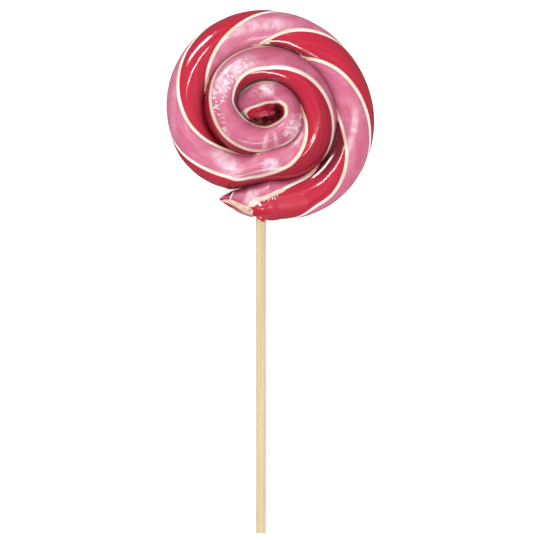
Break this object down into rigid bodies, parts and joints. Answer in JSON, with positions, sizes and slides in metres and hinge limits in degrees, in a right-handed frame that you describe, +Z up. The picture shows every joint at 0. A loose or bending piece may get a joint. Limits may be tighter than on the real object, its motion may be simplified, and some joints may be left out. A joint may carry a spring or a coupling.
{
  "type": "swirl lollipop",
  "caption": "Large swirl lollipop: a twisted rope of red, pink and cream sugar coiled into a round head on a plain wooden stick, lying face up.",
  "frame": {"origin": "on the surface that the lollipop lies on, under the middle of its whole box", "axes": "+Y runs along the stick from its foot to the head, +Z is up out of the shown side, +X is to the right when the head is at the top"},
  "size_m": [0.0808, 0.2032, 0.017],
  "materials": {
    "red_sugar": "clear boiled sugar, glossy",
    "pink_sugar": "pulled sugar, pearly satin with lengthwise streaks",
    "cream_sugar": "pulled sugar, opaque, soft gloss",
    "wood": "plain pale wood, unvarnished, grain along the stick"
  },
  "bodies": {
    "root": {"red_strand_1": "red_sugar", "red_strand_2": "red_sugar", "pink_strand_1": "pink_sugar", "pink_strand_2": "pink_sugar", "cream_layers": "cream_sugar", "stick": "wood"}
  },
  "joints": []
}
